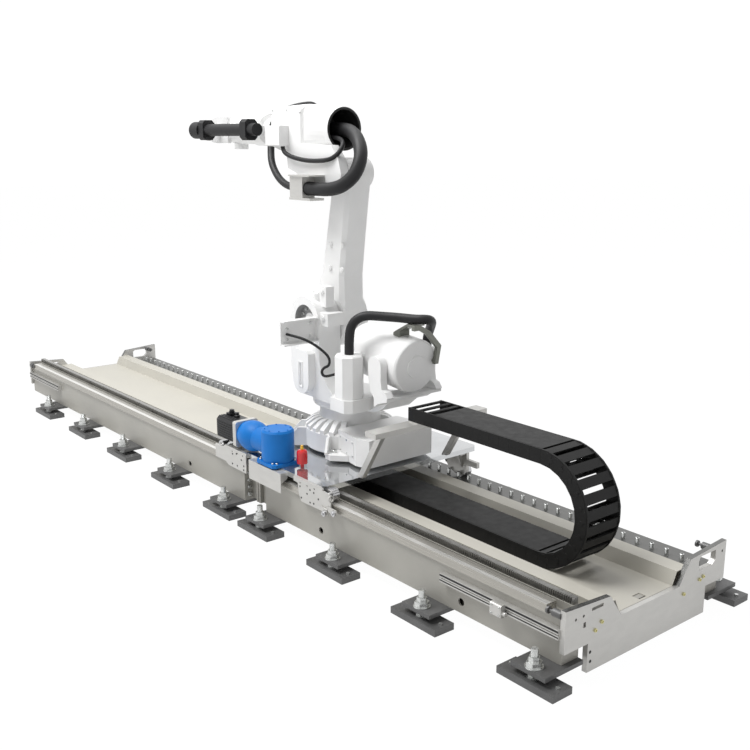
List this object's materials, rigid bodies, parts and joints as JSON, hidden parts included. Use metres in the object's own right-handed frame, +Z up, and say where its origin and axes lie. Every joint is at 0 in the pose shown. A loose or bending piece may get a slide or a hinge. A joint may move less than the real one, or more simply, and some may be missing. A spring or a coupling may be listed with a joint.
{
  "type": "robot linear track",
  "caption": "Floor-standing linear track with rack drive, energy chain and a carriage that carries a jointed industrial arm.",
  "frame": {"origin": "on the floor, on the centre line of the track, under the arm's first axis with the carriage at rest", "axes": "+X along the track towards the end with the limit switch, +Y across it away from the rack drive, +Z up"},
  "size_m": [8.19, 1.963, 3.2992],
  "materials": {
    "beam_paint": "satin",
    "trough_paint": "satin",
    "machined": "satin",
    "rail_steel": "polished",
    "dark_rail": "satin",
    "rack_steel": "satin",
    "foot_steel": "matte",
    "zinc": "satin",
    "roller_steel": "polished",
    "gearbox_blue": "gloss",
    "motor_black": "satin",
    "lubricator_red": "gloss",
    "chain_black": "matte",
    "robot_white": "satin",
    "spacer_dark": "matte",
    "hose_black": "matte"
  },
  "bodies": {
    "track": {"girder_front_near": "beam_paint", "girder_rear_near": "beam_paint", "girder_front_far": "beam_paint", "girder_rear_far": "beam_paint", "cross_members": "beam_paint", "trough": "trough_paint", "end_plate_near": "machined", "end_plate_far": "machined", "guide_rail_front": "rail_steel", "guide_rail_rear": "dark_rail", "rack": "rack_steel", "foot_brackets": "foot_steel", "floor_plates": "foot_steel", "levelling_studs": "zinc", "lock_nuts": "zinc", "shock_absorbers": "foot_steel", "sensor_profiles": "machined", "limit_switch": "machined", "chain_anchor": "zinc", "chain_lower": "chain_black"},
    "carriage": {"carriage_plate": "machined", "bracket_front_right": "machined", "bracket_front_left": "machined", "leg_rear_right": "machined", "leg_rear_left": "machined", "hold_down_rollers": "roller_steel", "pinion_guard": "machined", "gearbox": "gearbox_blue", "gearbox_elbow": "gearbox_blue", "motor_adapter": "machined", "servo_motor": "motor_black", "lubricator": "lubricator_red", "chain_struts": "machined", "chain_bar": "machined", "base_spacer": "spacer_dark", "robot_base": "robot_white"},
    "roller_front_right": {"roller_front_right": "roller_steel"},
    "roller_front_left": {"roller_front_left": "roller_steel"},
    "wheel_rear_right": {"wheel_rear_right": "roller_steel"},
    "wheel_rear_left": {"wheel_rear_left": "roller_steel"},
    "drive_pinion": {"drive_pinion": "rack_steel"},
    "chain_bend": {"chain_bend": "chain_black"},
    "chain_upper": {"chain_upper": "chain_black"},
    "turret": {"turret": "robot_white", "axis1_motor": "robot_white", "axis2_motor": "robot_white", "channel_bracket": "robot_white", "balancer": "robot_white", "hose_bracket": "foot_steel", "hose_base": "hose_black"},
    "lower_arm": {"lower_arm": "robot_white"},
    "elbow": {"elbow_housing": "robot_white", "axis4_motor": "robot_white", "hose_clamp": "machined", "hose_elbow": "hose_black", "hose_riser": "hose_black"},
    "forearm": {"forearm": "robot_white", "hose_forearm": "hose_black"},
    "wrist": {"wrist": "robot_white"},
    "tool_flange": {"tool_flange": "machined"}
  },
  "joints": [
    {"name": "carriage_slide", "type": "slide", "parent": "track", "child": "carriage", "axis": [1, 0, 0], "range_m": [-4.18, 2.01]},
    {"name": "pinion_spin", "type": "hinge", "parent": "carriage", "child": "drive_pinion", "pos_m": [0.01, -0.725, 0.462], "axis": [0, 0, 1], "range_deg": [-4790, 2304]},
    {"name": "roller_front_right_spin", "type": "hinge", "parent": "carriage", "child": "roller_front_right", "pos_m": [0.757, -0.754, 0.4933], "axis": [0, 1, 0], "range_deg": [-4990, 2400]},
    {"name": "roller_front_left_spin", "type": "hinge", "parent": "carriage", "child": "roller_front_left", "pos_m": [-0.757, -0.754, 0.4933], "axis": [0, 1, 0], "range_deg": [-4990, 2400]},
    {"name": "wheel_rear_right_spin", "type": "hinge", "parent": "carriage", "child": "wheel_rear_right", "pos_m": [0.62, 0.726, 0.3203], "axis": [0, 1, 0], "range_deg": [-5323, 2560]},
    {"name": "wheel_rear_left_spin", "type": "hinge", "parent": "carriage", "child": "wheel_rear_left", "pos_m": [-0.62, 0.726, 0.3203], "axis": [0, 1, 0], "range_deg": [-5323, 2560]},
    {"name": "chain_bend_travel", "type": "slide", "parent": "track", "child": "chain_bend", "axis": [1, 0, 0], "range_m": [-2.09, 1.005], "deforming": ["chain_lower"]},
    {"name": "chain_upper_travel", "type": "slide", "parent": "chain_bend", "child": "chain_upper", "axis": [1, 0, 0], "range_m": [-2.09, 1.005], "deforming": ["chain_upper"]},
    {"name": "axis_1_turn", "type": "hinge", "parent": "carriage", "child": "turret", "pos_m": [0, 0, 0.846], "axis": [0, 0, 1], "range_deg": [-170, 170]},
    {"name": "axis_2_lean", "type": "hinge", "parent": "turret", "child": "lower_arm", "pos_m": [-0.165, 0, 1.588], "axis": [0, 1, 0], "range_deg": [-30, 25]},
    {"name": "axis_3_lift", "type": "hinge", "parent": "lower_arm", "child": "elbow", "pos_m": [0.03, 0, 2.74], "axis": [0, 1, 0], "range_deg": [-12, 45]},
    {"name": "axis_4_roll", "type": "hinge", "parent": "elbow", "child": "forearm", "pos_m": [-0.79, 0, 3.072], "axis": [1, 0, 0], "range_deg": [-180, 180]},
    {"name": "axis_5_bend", "type": "hinge", "parent": "forearm", "child": "wrist", "pos_m": [-1.9, 0, 3.072], "axis": [0, 1, 0], "range_deg": [-110, 110]},
    {"name": "axis_6_roll", "type": "hinge", "parent": "wrist", "child": "tool_flange", "pos_m": [-2.1103, 0, 3.072], "axis": [1, 0, 0], "range_deg": [-300, 300]}
  ],
  "couplings": [
    {"joint": "pinion_spin", "follows": "carriage_slide", "rad_per_m": 20},
    {"joint": "roller_front_right_spin", "follows": "carriage_slide", "rad_per_m": 20.833},
    {"joint": "roller_front_left_spin", "follows": "carriage_slide", "rad_per_m": 20.833},
    {"joint": "wheel_rear_right_spin", "follows": "carriage_slide", "rad_per_m": 22.222},
    {"joint": "wheel_rear_left_spin", "follows": "carriage_slide", "rad_per_m": 22.222},
    {"joint": "chain_bend_travel", "follows": "carriage_slide", "ratio": 0.5},
    {"joint": "chain_upper_travel", "follows": "carriage_slide", "ratio": 0.5}
  ]
}
